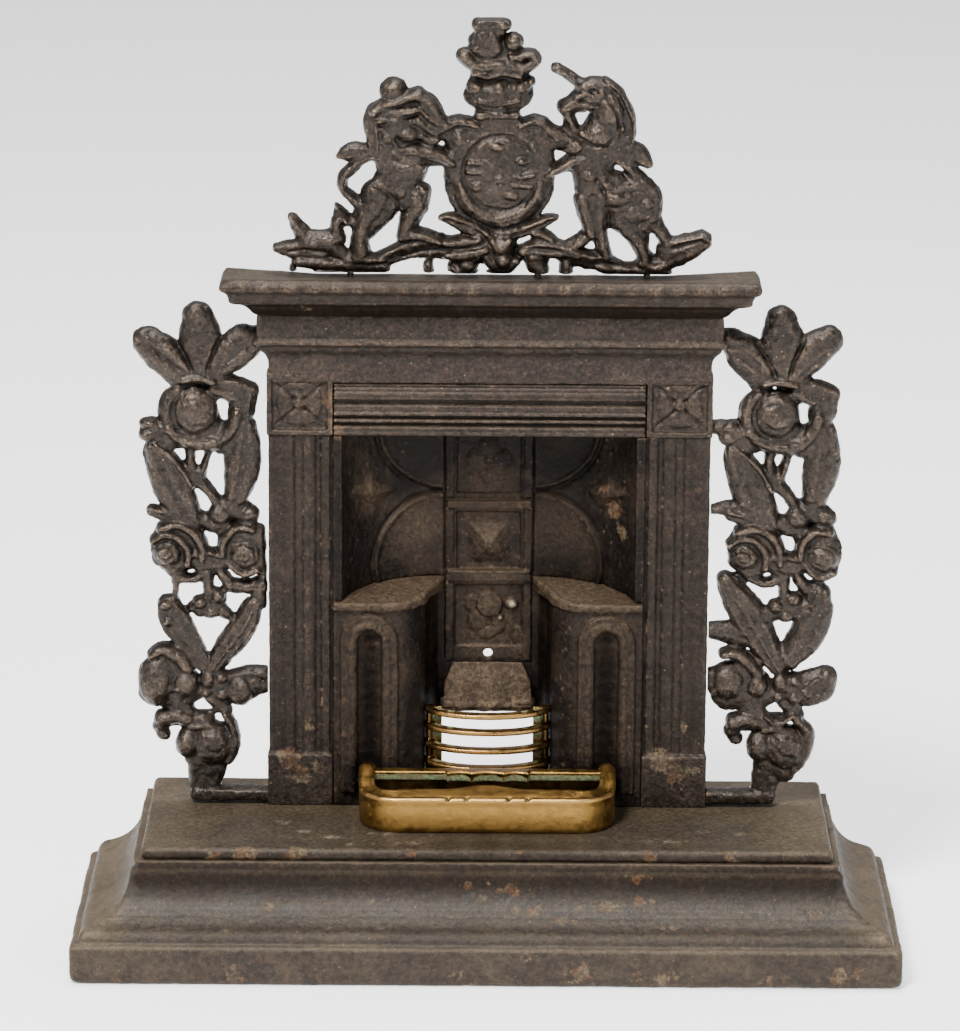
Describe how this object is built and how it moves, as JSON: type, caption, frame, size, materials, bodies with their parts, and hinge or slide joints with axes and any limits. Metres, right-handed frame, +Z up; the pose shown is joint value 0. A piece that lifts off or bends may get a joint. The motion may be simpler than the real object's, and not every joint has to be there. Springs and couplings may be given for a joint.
{
  "type": "miniature fireplace mantel",
  "caption": "Miniature cast-iron mantelpiece on a moulded plinth, with hob-grate insert, brass bars, loose brass fender, leafy side garlands and a heraldic crest.",
  "frame": {"origin": "centre of the base's footprint, on the surface that the base stands on", "axes": "+X to the viewer's right, +Y from the front towards the flat back, +Z up"},
  "size_m": [0.266, 0.094, 0.3004],
  "materials": {
    "plinth_iron": "worn matt casting, grey-olive bloom, spots of rust",
    "surround_iron": "matt brown-black casting, worn pale on its edges",
    "insert_iron": "dark sooty casting",
    "relief_iron": "burnished brown casting, soft worn highlights",
    "brass": "rubbed golden brass, dark and green in the recesses",
    "fastener_iron": "dull blackened steel"
  },
  "bodies": {
    "mantel": {"base_plinth": "plinth_iron", "hearth_slab": "plinth_iron", "foot_screws": "fastener_iron", "left_jamb": "surround_iron", "right_jamb": "surround_iron", "lintel": "surround_iron", "entablature": "surround_iron", "mantel_shelf": "surround_iron", "shelf_studs": "fastener_iron", "left_hob": "insert_iron", "left_hob_plate": "insert_iron", "left_coving": "insert_iron", "right_hob": "insert_iron", "right_hob_plate": "insert_iron", "right_coving": "insert_iron", "centre_back": "insert_iron", "fireback": "insert_iron", "grate_front": "brass", "crest": "relief_iron", "left_garland": "relief_iron", "right_garland": "relief_iron", "crest_pins": "fastener_iron"},
    "fender": {"fender": "brass"}
  },
  "joints": [
    {"name": "fender_lift", "type": "slide", "parent": "mantel", "child": "fender", "axis": [0, 0, 1], "range_m": [0, 0.04]}
  ]
}
